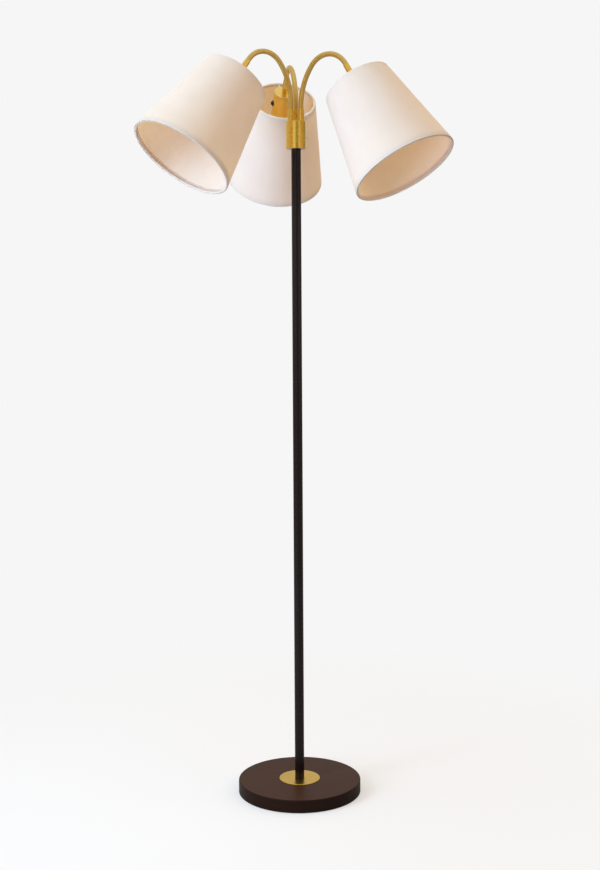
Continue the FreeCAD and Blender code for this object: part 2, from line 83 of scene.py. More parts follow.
def eased(corners, steps=5):
    """A closed outline with its corners rounded. Each corner is (radius, height, rounding).
    A short straight stretch is kept beside each rounding, so that flats shade as flats."""
    points = []
    count = len(corners)
    for n, (r, z, rounding) in enumerate(corners):
        here = np.array((r, z))
        if not rounding:
            points.append(here)
            continue
        before = np.array(corners[n - 1][:2]) - here
        after = np.array(corners[(n + 1) % count][:2]) - here
        room = min(np.linalg.norm(before), np.linalg.norm(after))
        before, after = before / np.linalg.norm(before), after / np.linalg.norm(after)
        half = math.acos(max(-1.0, min(1.0, float(before @ after)))) / 2
        reach = min(rounding / math.tan(half), 0.45 * room)
        rounding = reach * math.tan(half)
        middle = before + after
        centre = here + middle / np.linalg.norm(middle) * rounding / math.sin(half)
        lead = min(0.25 * rounding, 0.3 * (0.5 * room - reach))
        points.append(here + before * (reach + lead))
        start, end = here + before * reach - centre, here + after * reach - centre
        sweep = math.pi - 2 * half
        for k in range(steps + 1):
            t = k / steps
            points.append(
                centre
                + (math.sin((1 - t) * sweep) * start + math.sin(t * sweep) * end) / math.sin(sweep)
            )
        points.append(here + after * (reach + lead))
    return points


def turned(name, outline, place=None, turns=96, carve=None):
    """A piece turned about its own axis from a closed (radius, height) outline. carve may change
    the radius by (radius, height, turn). The map "turned" runs round and along the outline, and
    the attribute "own" keeps each point's place on the piece."""
    line = np.array([(p[0], p[1]) for p in outline])
    steps = np.linalg.norm(np.roll(line, -1, 0) - line, axis=1)
    along = np.concatenate(((0.0,), np.cumsum(steps)))
    angle = np.arange(turns) * 2 * math.pi / turns
    points, rings = [], []
    for r, z in line:
        if r < 1e-7:
            rings.append([len(points)] * turns)
            points.append((0.0, 0.0, z))
            continue
        radius = np.full(turns, r) if carve is None else carve(np.full(turns, r), z, angle)
        rings.append(list(range(len(points), len(points) + turns)))
        points += list(zip(radius * np.cos(angle), radius * np.sin(angle), np.full(turns, z)))
    faces, maps = [], []
    for i in range(len(line)):
        low, high = rings[i], rings[(i + 1) % len(line)]
        if low[0] == low[1] and high[0] == high[1]:
            continue
        for j in range(turns):
            k = (j + 1) % turns
            corners = [(low[j], j, i), (low[k], j + 1, i)]
            corners += [(high[k], j + 1, i + 1), (high[j], j, i + 1)]
            kept = [c for n, c in enumerate(corners) if c[0] != corners[n - 1][0]]
            faces.append([c[0] for c in kept])
            maps += [(c[1] / turns, along[c[2]]) for c in kept]
    mesh = bpy.data.meshes.new(name)
    mesh.from_pydata([tuple(p) for p in points], [], faces)
    round_and_along = mesh.uv_layers.new(name="turned")
    round_and_along.data.foreach_set("uv", np.array(maps, np.float32).ravel())
    own = mesh.attributes.new("own", "FLOAT_VECTOR", "POINT")
    own.data.foreach_set("vector", np.array(points, np.float32).ravel())
    if place is not None:
        mesh.transform(place)
    return smoothed(name, mesh)


def smoothed(name, mesh, crease=38):
    """Put a mesh in the scene with its faces outward and its edges sharp past the crease angle."""
    shell = bmesh.new()
    shell.from_mesh(mesh)
    bmesh.ops.recalc_face_normals(shell, faces=shell.faces)
    shell.to_mesh(mesh)
    shell.free()
    mesh.polygons.foreach_set("use_smooth", [True] * len(mesh.polygons))
    mesh.set_sharp_from_angle(angle=math.radians(crease))
    piece = bpy.data.objects.new(name, mesh)
    bpy.context.scene.collection.objects.link(piece)
    return piece


def bored(piece, start, direction, radius, length, turns=48):
    """Drill a round hole through a piece."""
    drill = bmesh.new()
    bmesh.ops.create_cone(
        drill, cap_ends=True, segments=turns, radius1=radius, radius2=radius, depth=length
    )
    mesh = bpy.data.meshes.new("drill")
    drill.to_mesh(mesh)
    drill.free()
    aim = Vector(direction).normalized()
    turn = aim.to_track_quat("Z", "Y").to_matrix().to_4x4()
    mesh.transform(Matrix.Translation(Vector(start) + aim * length / 2) @ turn)
    bit = bpy.data.objects.new("drill", mesh)
    bpy.context.scene.collection.objects.link(bit)
    drilled = piece.modifiers.new("drilled", "BOOLEAN")
    drilled.operation, drilled.object, drilled.solver = "DIFFERENCE", bit, "EXACT"
    whole = piece.evaluated_get(bpy.context.evaluated_depsgraph_get())
    cut = bpy.data.meshes.new_from_object(whole)
    piece.modifiers.remove(drilled)
    piece.data = cut
    cut.set_sharp_from_angle(angle=math.radians(38))
    bpy.data.objects.remove(bit)
    bpy.data.meshes.remove(mesh)


def node_maker(tree, family="ShaderNode"):
    """A function that adds a node of one family to a tree, sets it up and wires its inputs."""

    def add(kind, wires=None, **settings):
        node = tree.nodes.new(family + kind)
        for key, value in settings.items():
            setattr(node, key, value)
        for socket, value in (wires or {}).items():
            if isinstance(value, bpy.types.NodeSocket):
                tree.links.new(value, node.inputs[socket])
            else:
                node.inputs[socket].default_value = value
        return node

    return add


def finish_kit(name):
    """A new material, its main shader, and a function that adds nodes to it."""
    finish = bpy.data.materials.new(name)
    finish.use_nodes = True
    shader = finish.node_tree.nodes["Principled BSDF"]
    return finish, shader, node_maker(finish.node_tree)


def sums(add, operation, first, second=0.0):
    return add("Math", {0: first, 1: second}, operation=operation).outputs[0]


def blended(add, amount, low, high):
    """A colour between low and high."""
    mix = add("Mix", data_type="RGBA")
    for socket, value in ((mix.inputs[0], amount), (mix.inputs[6], low), (mix.inputs[7], high)):
        if isinstance(value, bpy.types.NodeSocket):
            mix.id_data.links.new(value, socket)
        else:
            socket.default_value = value if isinstance(value, float) else (*value, 1.0)
    return mix.outputs[2]


def spread(add, value, low, high, new_low=0.0, new_high=1.0):
    """Stretch a value from one range to another, held at its ends."""
    wires = {"Value": value, "From Min": low, "From Max": high, "To Min": new_low, "To Max": new_high}
    return add("MapRange", wires).outputs["Result"]


def wear(shader, colour=None, roughness=None, height=None, depth=0.0, add=None):
    """Wire a pattern's colour, roughness and height to a shader."""
    links = shader.id_data.links
    if colour is not None:
        links.new(colour, shader.inputs["Base Color"])
    if roughness is not None:
        links.new(roughness, shader.inputs["Roughness"])
    if height is not None:
        bump = add("Bump", {"Height": height, "Distance": depth})
        links.new(bump.outputs["Normal"], shader.inputs["Normal"])


def plain_noise(add, place, scale, detail=2.0, rough=0.5):
    wires = {"Vector": place, "Scale": scale, "Detail": detail, "Roughness": rough}
    return add("TexNoise", wires).outputs["Fac"]


def wearing(piece, finish, node, body):
    """Give a piece its finish, hide the solid that it stands for, and attach it to its body."""
    piece.data.materials.clear()
    piece.data.materials.append(finish)
    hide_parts(node)
    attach(piece, body)


def refinish(node, finish):
    """Give a solid that is shown as it is a better finish."""
    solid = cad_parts[node]
    solid.data.materials.clear()
    solid.data.materials.append(finish)


def enamel_finish():
    enamel, shader, add = finish_kit("dark_brown_enamel")
    place = add("TexCoord").outputs["Object"]
    cloud = plain_noise(add, place, 9.0, 3.0)
    tone = blended(
        add, spread(add, cloud, 0.35, 0.65), (0.052, 0.0165, 0.0065), (0.045, 0.0148, 0.006)
    )
    # painted shade: the side of the dish is darker than its top, where less light falls on it
    split = add("SeparateXYZ", {0: place})
    side = spread(add, split.outputs[2], base_top - 0.003, base_top - 0.0005)
    tone = blended(add, side, (0.0165, 0.006, 0.0032), tone)
    # painted shadow: the lowest millimetres of the skirt turn near-black where it meets the floor
    tone = blended(add, spread(add, split.outputs[2], 0.0014, 0.0026), (0.003, 0.002, 0.002), tone)
    # painted shade: a darker band along the rounded top edge
    flat = add("CombineXYZ", {0: split.outputs[0], 1: split.outputs[1]}).outputs[0]
    out = add("VectorMath", {0: flat}, operation="LENGTH").outputs["Value"]
    painted_rim_shade = sums(
        add,
        "MULTIPLY",
        spread(add, out, base_radius - 0.0028, base_radius - 0.0012),
        spread(add, split.outputs[2], base_top - 0.004, base_top - 0.0012),
    )
    tone = blended(add, sums(add, "MULTIPLY", painted_rim_shade, 0.75), tone, (0.008, 0.003, 0.0035))
    grain = plain_noise(add, place, 1500.0, 2.0)
    scuffs = add("Mapping", {"Vector": place, "Scale": (30.0, 420.0, 60.0), "Rotation": (0, 0, 0.5)})
    scuffs = plain_noise(add, scuffs.outputs[0], 1.0, 4.0, 0.7)
    rough = spread(add, scuffs, 0.3, 0.75, 0.44, 0.4)
    shader.inputs["Specular IOR Level"].default_value = 0.1
    wear(shader, tone, rough, grain, 0.00001, add)
    return enamel


enamel = enamel_finish()
dish = turned(
    "base_dish",
    eased(
        [
            (stud_hole, base_top, 0), (base_radius, base_top, base_shoulder),
            (base_radius, skirt_foot, 0.0005), (base_radius - base_sheet, skirt_foot, 0.0005),
            (base_radius - base_sheet, base_top - base_sheet, 0.001),
            (stud_hole, base_top - base_sheet, 0),
        ],
        8,
    ),
    turns=192,
)
bored(dish, (0, base_radius - 0.008, gland_height), (0, 1, 0), gland_hole, 0.016)
wearing(dish, enamel, "base_cover", "stand")


def even_finish(name, tints, tone_noise, rough_noise, roughs, relief_noise, relief, shine=()):
    """A finish of nearly one tone with fine relief. A noise is its scale, detail and roughness,
    and roughs are the roughness at 0.3 and 0.7 of its noise."""
    finish, shader, add = finish_kit(name)
    place = add("TexCoord").outputs["Object"]
    tone = blended(add, plain_noise(add, place, *tone_noise), *tints)
    rough = spread(add, plain_noise(add, place, *rough_noise), 0.3, 0.7, *roughs)
    for socket, value in shine:
        shader.inputs[socket].default_value = value
    wear(shader, tone, rough, plain_noise(add, place, *relief_noise), relief, add)
    return finish


def felt_finish():
    felt, shader, add = finish_kit("pressed_felt")
    place = add("TexCoord").outputs["Object"]
    fibres = plain_noise(add, place, 2600.0, 5.0, 0.75)
    tone = blended(add, fibres, (0.018, 0.018, 0.019), (0.075, 0.074, 0.072))
    shader.inputs["Sheen Weight"].default_value = 0.4
    wear(shader, tone, spread(add, fibres, 0.2, 0.8, 0.88, 0.98), fibres, 0.0004, add)
    return felt


def moulding_finish(name, dark, pale, rough):
    """Matt moulded plastic with a fine spark-eroded grain."""
    grain, roughs = (2200.0, 2.0), (rough - 0.06, rough + 0.06)
    return even_finish(name, (dark, pale), (60.0,), grain, roughs, grain, 0.00004)


sand, plating = (700.0, 4.0, 0.65), (120.0, 3.0)
iron = even_finish(
    "cast_iron_as_cast", ((0.035, 0.034, 0.033), (0.075, 0.07, 0.066)), (40.0, 3.0),
    sand, (0.62, 0.85), sand, 0.00025, [("Metallic", 0.55)],
)
zinc = even_finish(
    "zinc_plate", ((0.46, 0.47, 0.47), (0.62, 0.61, 0.56)), plating,
    plating, (0.3, 0.45), (1800.0,), 0.00002, [("Metallic", 1.0)],
)
black_plastic = moulding_finish("black_moulding", (0.012, 0.012, 0.013), (0.02, 0.02, 0.021), 0.45)
refinish("base_pad", felt_finish())
refinish("base_weight", iron)
refinish("foot_nut", zinc)
refinish("foot_nipple", zinc)

# The gland is a black nylon bush pressed into the back of the dish, with a flange outside
# and a rounded mouth, where the supply cable comes in.
gland = turned(
    "gland_bush",
    eased(
        [
            (0.0029, -0.0035, 0.0003), (0.004, -0.0035, 0.0003), (0.004, 0.0, 0),
            (0.0053, 0.0, 0.0002), (0.0053, 0.0022, 0.0009), (0.0029, 0.0022, 0.0008),
        ]
    ),
    Matrix.Translation((0, base_radius, gland_height)) @ Matrix.Rotation(-math.pi / 2, 4, "X"),
    64,
)
wearing(gland, black_plastic, "cord_gland", "stand")

# ---- Foot plate ----
# A thin brass disc between the pole and the dish, faced on a lathe, with a bright chamfer.
# The turning marks run in rings, and the lacquered brass has a soft satin look.
plate_radius, plate_top, plate_chamfer = 0.0415, 0.028, 0.0005


def brass_finish(name, tone_warm, tone_pale, rough, line_depth=0.000003):
    """Satin brass with turning marks that follow the map "turned"."""
    brass, shader, add = finish_kit(name)
    own = add("Attribute", attribute_name="own").outputs["Vector"]
    split = add("SeparateXYZ", {0: own})
    round_and_along = add("UVMap", uv_map="turned").outputs[0]
    length = add("SeparateXYZ", {0: round_and_along}).outputs[1]
    marks = add(
        "CombineXYZ",
        {
            0: sums(add, "MULTIPLY", split.outputs[0], 45.0),
            1: sums(add, "MULTIPLY", split.outputs[1], 45.0),
            2: sums(add, "MULTIPLY", length, 7000.0),
        },
    ).outputs[0]
    marks = plain_noise(add, marks, 1.0, 3.0, 0.6)
    cloud = plain_noise(add, own, 32.0, 3.0)
    tone = blended(add, spread(add, cloud, 0.3, 0.7), tone_warm, tone_pale)
    tone = blended(add, spread(add, marks, 0.35, 0.75, 0.0, 0.12), tone, (0.52, 0.29, 0.06))
    shader.inputs["Metallic"].default_value = 1.0
    shader.inputs["Anisotropic"].default_value = 0.45
    grain = add("Tangent", direction_type="UV_MAP", uv_map="turned").outputs[0]
    shader.id_data.links.new(grain, shader.inputs["Tangent"])
    uneven = [spread(add, noise, 0.3, 0.7, -0.03, 0.03) for noise in (marks, cloud)]
    uneven = sums(add, "ADD", *uneven)
    wear(shader, tone, sums(add, "ADD", uneven, rough), marks, line_depth, add)
    return brass


brass = brass_finish("satin_brass", (0.86, 0.55, 0.085), (0.88, 0.585, 0.115), 0.27)
plate = turned(
    "foot_plate",
    eased(
        [
            (stud_hole, base_top, 0), (plate_radius, base_top, 0.00008),
            (plate_radius, plate_top - plate_chamfer, 0.00015),
            (plate_radius - plate_chamfer, plate_top, 0.00015), (stud_hole, plate_top, 0),
        ],
        3,
    ),
    turns=160,
)
wearing(plate, brass, "foot_disc", "stand")

# ---- Pole ----
# Three equal steel tubes, lacquered near-black and screwed together end to end on hollow
# studs. The tube ends are lightly chamfered, which leaves a fine line at each joint.
pole_radius, pole_bore, section, end_chamfer = 0.0095, 0.0083, 0.424, 0.0005


def lacquer_finish():
    lacquer, shader, add = finish_kit("black_lacquer")
    place = add("TexCoord").outputs["Object"]
    drawn = add("Mapping", {"Vector": place, "Scale": (900.0, 900.0, 14.0)})
    drawn = plain_noise(add, drawn.outputs[0], 1.0, 3.0, 0.6)
    cloud = plain_noise(add, place, 14.0, 3.0)
    tone = blended(add, spread(add, cloud, 0.3, 0.7), (0.006, 0.0012, 0.0014), (0.0085, 0.0022, 0.0022))
    peel = plain_noise(add, place, 420.0, 2.0)
    height = sums(add, "ADD", sums(add, "MULTIPLY", drawn, 0.5), peel)
    shader.inputs["Specular IOR Level"].default_value = 0.3
    wear(shader, tone, spread(add, drawn, 0.3, 0.7, 0.25, 0.28), height, 0.000003, add)
    return lacquer


lacquer = lacquer_finish()
for number, level_name in enumerate(("lower", "middle", "upper")):
    low = plate_top + number * section
    high = low + section
    tube = turned(
        f"pole_tube_{level_name}",
        eased(
            [
                (pole_bore, low, 0), (pole_radius - end_chamfer, low, 0.00015),
                (pole_radius, low + end_chamfer, 0.0002),
                (pole_radius, high - end_chamfer, 0.0002),
                (pole_radius - end_chamfer, high, 0.00015), (pole_bore, high, 0),
            ],
            3,
        ),
        turns=96,
    )
    wearing(tube, lacquer, f"pole_{level_name}", "stand")
for node in ("pole_bushes", "pole_studs", "collar_nipple", "collar_base", "sleeve_nuts"):
    refinish(node, zinc)

# ---- Collar ----
# A short brass can that closes the pole's top and carries the three necks. It is turned
# from tube, with a pressed-in base and a crown that the sleeves screw into.
pole_top = plate_top + 3 * section
collar_radius, collar_wall, collar_height, crown_thickness = 0.02, 0.0016, 0.053, 0.003
crown = pole_top + collar_height
sleeve_circle = 0.0115
arms = {
    "left": {"azimuth": -124.9, "tilt": 38.5, "rise": 0.016, "low_bend": 0.1148, "low_turn": 39.2,
             "high_bend": 0.0445, "sleeve": -120.0},
    "right": {"azimuth": 125.5, "tilt": 33.2, "rise": 0.0055, "low_bend": 0.1232, "low_turn": 37.3,
              "high_bend": 0.048, "sleeve": 120.0},
    "back": {"azimuth": -9.8, "tilt": 40.7, "rise": 0.0077, "low_bend": 0.0864, "low_turn": 73.9,
             "high_bend": 0.0495, "sleeve": 0.0},
}


def sleeve_place(side):
    turn = math.radians(arms[side]["sleeve"])
    return Vector((math.sin(turn), math.cos(turn), 0)) * sleeve_circle


can = turned(
    "collar_can",
    eased(
        [
            (0, crown, 0), (collar_radius, crown, 0.001), (collar_radius, pole_top, 0.0003),
            (collar_radius - collar_wall, pole_top, 0.0002),
            (collar_radius - collar_wall, crown - crown_thickness, 0.0002),
            (0, crown - crown_thickness, 0),
        ]
    ),
    turns=128,
)
for side in arms:
    seat = sleeve_place(side)
    bored(can, (seat.x, seat.y, crown - 0.006), (0, 0, 1), stud_hole, 0.012)
wearing(can, brass, "collar", "stand")
refinish("terminal_block", moulding_finish("white_moulding", (0.7, 0.69, 0.65), (0.78, 0.77, 0.73), 0.42))
refinish("supply_lead", moulding_finish("cable_sheath", (0.02, 0.02, 0.02), (0.03, 0.03, 0.03), 0.5))

# Each neck starts in a plain brass sleeve, screwed into the crown with a turned rim.
sleeve_radius, sleeve_height, sleeve_bore = 0.006, 0.022, 0.00505
neck_foot = crown + sleeve_height


def sleeve_outline(low, high, bore_depth, outer=sleeve_radius):
    return eased(
        [
            (0, low, 0), (outer, low, 0.0002), (outer, high, 0.0005),
            (sleeve_bore, high, 0.0002), (sleeve_bore, high - bore_depth, 0.0002),
            (0, high - bore_depth, 0),
        ],
        4,
    )


def gathered(name, pieces):
    """Several pieces as one object."""
    heap = bmesh.new()
    for piece in pieces:
        heap.from_mesh(piece.data)
        bpy.data.objects.remove(piece)
    mesh = bpy.data.meshes.new(name)
    heap.to_mesh(mesh)
    heap.free()
    mesh.set_sharp_from_angle(angle=math.radians(38))
    whole = bpy.data.objects.new(name, mesh)
    bpy.context.scene.collection.objects.link(whole)
    return whole


sleeves = [
    turned(
        "sleeve",
        sleeve_outline(crown, neck_foot, 0.006),
        Matrix.Translation(sleeve_place(side)),
        64,
    )
    for side in arms
]
wearing(gathered("neck_seats", sleeves), brass, "neck_sleeves", "stand")

# ---- Necks ----
# Each arm is a brass-plated flexible hose: a wound steel spring with a strip in its groove,
# so that the outside shows a fine screw of rounded ribs. It bends by hand and stays put.
hose_radius, rib_pitch, rib_depth = 0.005, 0.0028, 0.00035
neck_length, end_sleeve_length = 0.205, 0.026
hinges = [(neck_length - end_sleeve_length) * n / 3 for n in (1, 2, 3)]


def arm_normal(side):
    turn = math.radians(arms[side]["azimuth"])
    return Vector((math.cos(turn), -math.sin(turn), 0))


def neck_point(side, along):
    """A point on the neck's centre line and the direction in which the neck runs there."""
    arm = arms[side]
    full, first = math.radians(180 - arm["tilt"]), math.radians(arm["low_turn"])
    out, height, heading = 0.0, neck_foot, 0.0
    if along < 0:
        height, along = height + along, 0.0
    for length, bend in (
        (arm["rise"], 0.0), (arm["low_bend"] * first, arm["low_bend"]),
        (arm["high_bend"] * (full - first), arm["high_bend"]), (1.0, 0.0),
    ):
        step = min(along, length)
        if bend:
            after = heading + step / bend
            out += bend * (math.cos(heading) - math.cos(after))
            height += bend * (math.sin(after) - math.sin(heading))
            heading = after
        else:
            out += step * math.sin(heading)
            height += step * math.cos(heading)
        along -= step
        if along <= 0:
            break
    turn = math.radians(arm["azimuth"])
    outward = Vector((math.sin(turn), math.cos(turn), 0))
    up = Vector((0, 0, 1))
    place = sleeve_place(side) + outward * out + up * height
    return place, outward * math.sin(heading) + up * math.cos(heading)


def hose_tree(finish):
    """Geometry nodes that wind a ribbed hose on a centre line."""
    tree = bpy.data.node_groups.new("wound_hose", "GeometryNodeTree")
    face = tree.interface
    face.new_socket("Hose", in_out="OUTPUT", socket_type="NodeSocketGeometry")
    face.new_socket("Centre Line", in_out="INPUT", socket_type="NodeSocketGeometry")
    for title, value in (
        ("Radius", hose_radius), ("Rib Pitch", rib_pitch), ("Rib Depth", rib_depth),
        ("Start Along", 0.0), ("Ring Step", rib_pitch / 10),
    ):
        face.new_socket(title, in_out="INPUT", socket_type="NodeSocketFloat").default_value = value
    add = node_maker(tree, "")

    def reckon(operation, first, second=0.0):
        return add("ShaderNodeMath", {0: first, 1: second}, operation=operation).outputs[0]

    given = add("NodeGroupInput").outputs
    rings = add(
        "GeometryNodeResampleCurve",
        {"Curve": given["Centre Line"], "Length": given["Ring Step"]},
        mode="LENGTH",
    )
    run = add("GeometryNodeSplineParameter").outputs["Length"]
    line = add(
        "GeometryNodeStoreNamedAttribute",
        {"Geometry": rings.outputs[0], "Name": "along", "Value": reckon("ADD", run, given["Start Along"])},
        data_type="FLOAT",
        domain="POINT",
    )
    circle = add("GeometryNodeCurvePrimitiveCircle", {"Resolution": 40, "Radius": given["Radius"]})
    turn = add("GeometryNodeSplineParameter").outputs["Factor"]
    section = add(
        "GeometryNodeStoreNamedAttribute",
        {"Geometry": circle.outputs[0], "Name": "round", "Value": turn},
        data_type="FLOAT",
        domain="POINT",
    )
    skin = add(
        "GeometryNodeCurveToMesh",
        {"Curve": line.outputs[0], "Profile Curve": section.outputs[0], "Fill Caps": True},
    )
    along = add("GeometryNodeInputNamedAttribute", {"Name": "along"}, data_type="FLOAT").outputs[0]
    round_it = add("GeometryNodeInputNamedAttribute", {"Name": "round"}, data_type="FLOAT").outputs[0]
    coil = reckon("FRACT", reckon("SUBTRACT", reckon("DIVIDE", along, given["Rib Pitch"]), round_it))
    off_crest = reckon("ABSOLUTE", reckon("SUBTRACT", reckon("MULTIPLY", coil, 2.0), 1.0))
    groove = reckon("POWER", off_crest, 5.0)
    marked = add(
        "GeometryNodeStoreNamedAttribute",
        {"Geometry": skin.outputs[0], "Name": "groove", "Value": groove},
        data_type="FLOAT",
        domain="POINT",
    )
    inward = reckon("MULTIPLY", reckon("MULTIPLY", groove, given["Rib Depth"]), -1.0)
    shift = add(
        "ShaderNodeVectorMath",
        {0: add("GeometryNodeInputNormal").outputs[0], "Scale": inward},
        operation="SCALE",
    )
    ribbed = add(
        "GeometryNodeSetPosition", {"Geometry": marked.outputs[0], "Offset": shift.outputs["Vector"]}
    )
    smooth = add("GeometryNodeSetShadeSmooth", {0: ribbed.outputs[0]})
    real = add("GeometryNodeRealizeInstances", {0: smooth.outputs[0]})
    coloured = add("GeometryNodeSetMaterial", {0: real.outputs[0], "Material": finish})
    tree.links.new(coloured.outputs[0], add("NodeGroupOutput").inputs[0])
    return tree


def hose_finish():
    hose, shader, add = finish_kit("brass_hose")
    place = add("TexCoord").outputs["Object"]
    groove = add("Attribute", attribute_name="groove").outputs["Fac"]
    cloud = plain_noise(add, place, 60.0, 3.0)
    grain = plain_noise(add, place, 2400.0, 2.0)
    tone = blended(add, spread(add, cloud, 0.3, 0.7), (0.76, 0.5, 0.13), (0.82, 0.56, 0.17))
    # painted shade: the grooves between the ribs are darkened
    tone = blended(add, spread(add, groove, 0.1, 0.9, 0.0, 0.7), tone, (0.2, 0.1, 0.025))
    shader.inputs["Metallic"].default_value = 1.0
    wear(shader, tone, spread(add, grain, 0.3, 0.7, 0.26, 0.34), grain, 0.000004, add)
    return hose


hose_brass = hose_finish()
wound = hose_tree(hose_brass)
hose_inputs = {s.name: s.identifier for s in wound.interface.items_tree if s.in_out == "INPUT"}


def hose(name, side, start, end):
    """One stretch of a neck's hose, from one length along it to another."""
    count = max(8, round((end - start) / 0.002))
    stops = [neck_point(side, start + (end - start) * n / count)[0] for n in range(count + 1)]
    line = bpy.data.curves.new(name, "CURVE")
    line.dimensions = "3D"
    spline = line.splines.new("POLY")
    spline.points.add(count)
    for point, stop in zip(spline.points, stops):
        point.co = (*stop, 1.0)
    path = bpy.data.objects.new(name + "_line", line)
    bpy.context.scene.collection.objects.link(path)
    winding = path.modifiers.new("winding", "NODES")
    winding.node_group = wound
    winding[hose_inputs["Start Along"]] = start + 0.05
    whole = path.evaluated_get(bpy.context.evaluated_depsgraph_get())
    mesh = bpy.data.meshes.new_from_object(whole)
    path.modifiers.remove(winding)
    bpy.data.objects.remove(path)
    bpy.data.curves.remove(line)
    return smoothed(name, mesh, 60)


for side in arms:
    halfway = [(a + b) / 2 for a, b in zip([0.0] + hinges, hinges)]
    stretches = (
        (-0.005, halfway[1], hinges[0] - 0.024, hinges[0] + 0.024),
        (halfway[1], halfway[2], hinges[1] - 0.025, hinges[1] + 0.025),
        (halfway[2], hinges[2] + 0.003, hinges[2] - 0.014, hinges[2] + 0.0005),
    )
    for number, (start, end, bend_from, bend_to) in enumerate(stretches):
        piece = hose(f"{side}_hose_{number + 1}", side, start, end)
        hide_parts(f"{side}_neck_{number + 1}")
        neck_point(side, bend_from)[0]
        neck_point(side, bend_to)[0]
        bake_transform(piece)

# ---- Lampholder cups ----
# A spun brass cup with a flat top and rounded shoulder hides each lampholder. A plain brass
# sleeve screwed into its top takes the end of the neck.
cup_top, cup_foot, cup_height, cup_wall, cup_shoulder = 0.0215, 0.023, 0.062, 0.001, 0.0015
switch_depth = 0.027


def head_place(side):
    """The head's own frame: +Z runs back up the neck, and +X is square to the arm."""
    place, heading = neck_point(side, neck_length)
    back, square = -heading, arm_normal(side)
    turn = Matrix((square, back.cross(square), back)).transposed().to_4x4()
    return Matrix.Translation(place) @ turn


def cup_radius(depth):
    return cup_top + (cup_foot - cup_top) * depth / cup_height


cup_brass = brass_finish("spun_brass", (0.89, 0.62, 0.15), (0.91, 0.655, 0.19), 0.25)
for side in arms:
    place = head_place(side)
    seat = turned(
        f"{side}_end_seat", sleeve_outline(0.0, end_sleeve_length - 0.0009, 0.008, 0.0056), place, 64
    )
    wearing(seat, brass, f"{side}_end_sleeve", f"{side}_head")
    shell = turned(
        f"{side}_cup_shell",
        eased(
            [
                (stud_hole, 0.0, 0), (cup_top, 0.0, cup_shoulder),
                (cup_foot, -cup_height, 0.0003), (cup_foot - cup_wall, -cup_height, 0.0003),
                (cup_top - cup_wall, -cup_wall, 0.0008), (stud_hole, -cup_wall, 0),
            ],
            6,
        ),
        place,
        128,
    )
    hole_start = place @ Vector((-(cup_radius(switch_depth) - 0.006), 0, -switch_depth))
    bored(shell, hole_start, place.to_3x3() @ Vector((-1, 0, 0)), 0.0053, 0.012)
    wearing(shell, cup_brass, f"{side}_cup", f"{side}_head")

# ---- Push switches ----
# A black push switch sits in the side of each cup. Its flanged bush shows as a small dark
# ring, and the domed button stands a few millimetres proud.
bush_front = cup_radius(switch_depth) + 0.00015
for side in arms:
    aim = head_place(side) @ Matrix.Translation((0, 0, -switch_depth))
    aim = aim @ Matrix.Rotation(-math.pi / 2, 4, "Y")
    refinish(f"{side}_switch_body", black_plastic)
    button = turned(
        f"{side}_push_button",
        eased(
            [
                (0, 0.0135, 0), (0.0046, 0.0135, 0.0002), (0.0046, 0.0145, 0.0002),
                (0.0035, 0.0145, 0), (0.0035, bush_front + 0.0032, 0.0007),
                (0.0018, bush_front + 0.0039, 0.002), (0, bush_front + 0.004, 0),
            ]
        ),
        aim,
        48,
    )
    wearing(button, black_plastic, f"{side}_switch_button", f"{side}_button")

# ---- Lampholders and bulbs ----
# A black moulded lampholder fills each cup. Its threaded skirt comes out under the cup, a
# notched ring screws on it to hold the shade, and an opal globe bulb screws into it.
skirt_radius, skirt_end = 0.0197, 0.076
thread_pitch, thread_depth = 0.0025, 0.0006


def screwed(low, high, pitch, depth, least=0.0):
    """A carve for turned(): a rounded screw thread between two heights, past a least radius."""

    def carve(radius, height, turn):
        fade = max(0.0, min(1.0, (height - low) / pitch, (high - height) / pitch))
        wave = (height / pitch - turn / (2 * math.pi)) % 1.0
        cut = depth * fade * (0.5 - 0.5 * np.cos(2 * math.pi * wave))
        return np.where(radius > least, radius - cut, radius)

    return carve


def stepped(outline, low, high, step):
    """Divide an outline's upright stretches between two heights, for a thread to follow."""
    points = []
    for here, there in zip(outline, outline[1:] + outline[:1]):
        points.append(here)
        drop = there[1] - here[1]
        bottom, top = sorted((here[1], there[1]))
        upright = abs(drop) > 4 * step and abs(there[0] - here[0]) < 1e-6
        if upright and bottom >= low - 1e-6 and top <= high + 1e-6:
            parts = math.ceil(abs(drop) / step)
            points += [here + (there - here) * n / parts for n in range(1, parts)]
    return points


holder_black = moulding_finish("holder_moulding", (0.016, 0.016, 0.016), (0.028, 0.027, 0.026), 0.4)
rolled, milky = (90.0, 3.0), (30.0, 2.0)
nickel = even_finish(
    "nickel_screw_cap", ((0.58, 0.57, 0.54), (0.7, 0.69, 0.67)), rolled,
    rolled, (0.2, 0.32), (1500.0,), 0.00001, [("Metallic", 1.0)],
)
opal = even_finish(
    "opal_glass", ((0.86, 0.85, 0.82), (0.9, 0.89, 0.87)), milky,
    milky, (0.2, 0.3), milky, 0.00002, [("Coat Weight", 0.6), ("Coat Roughness", 0.05)],
)
bulb_start, cap_length, bulb_length, globe = 0.04, 0.026, 0.078, 0.0225
cap_radius, bulb_neck = 0.0131, 0.0128

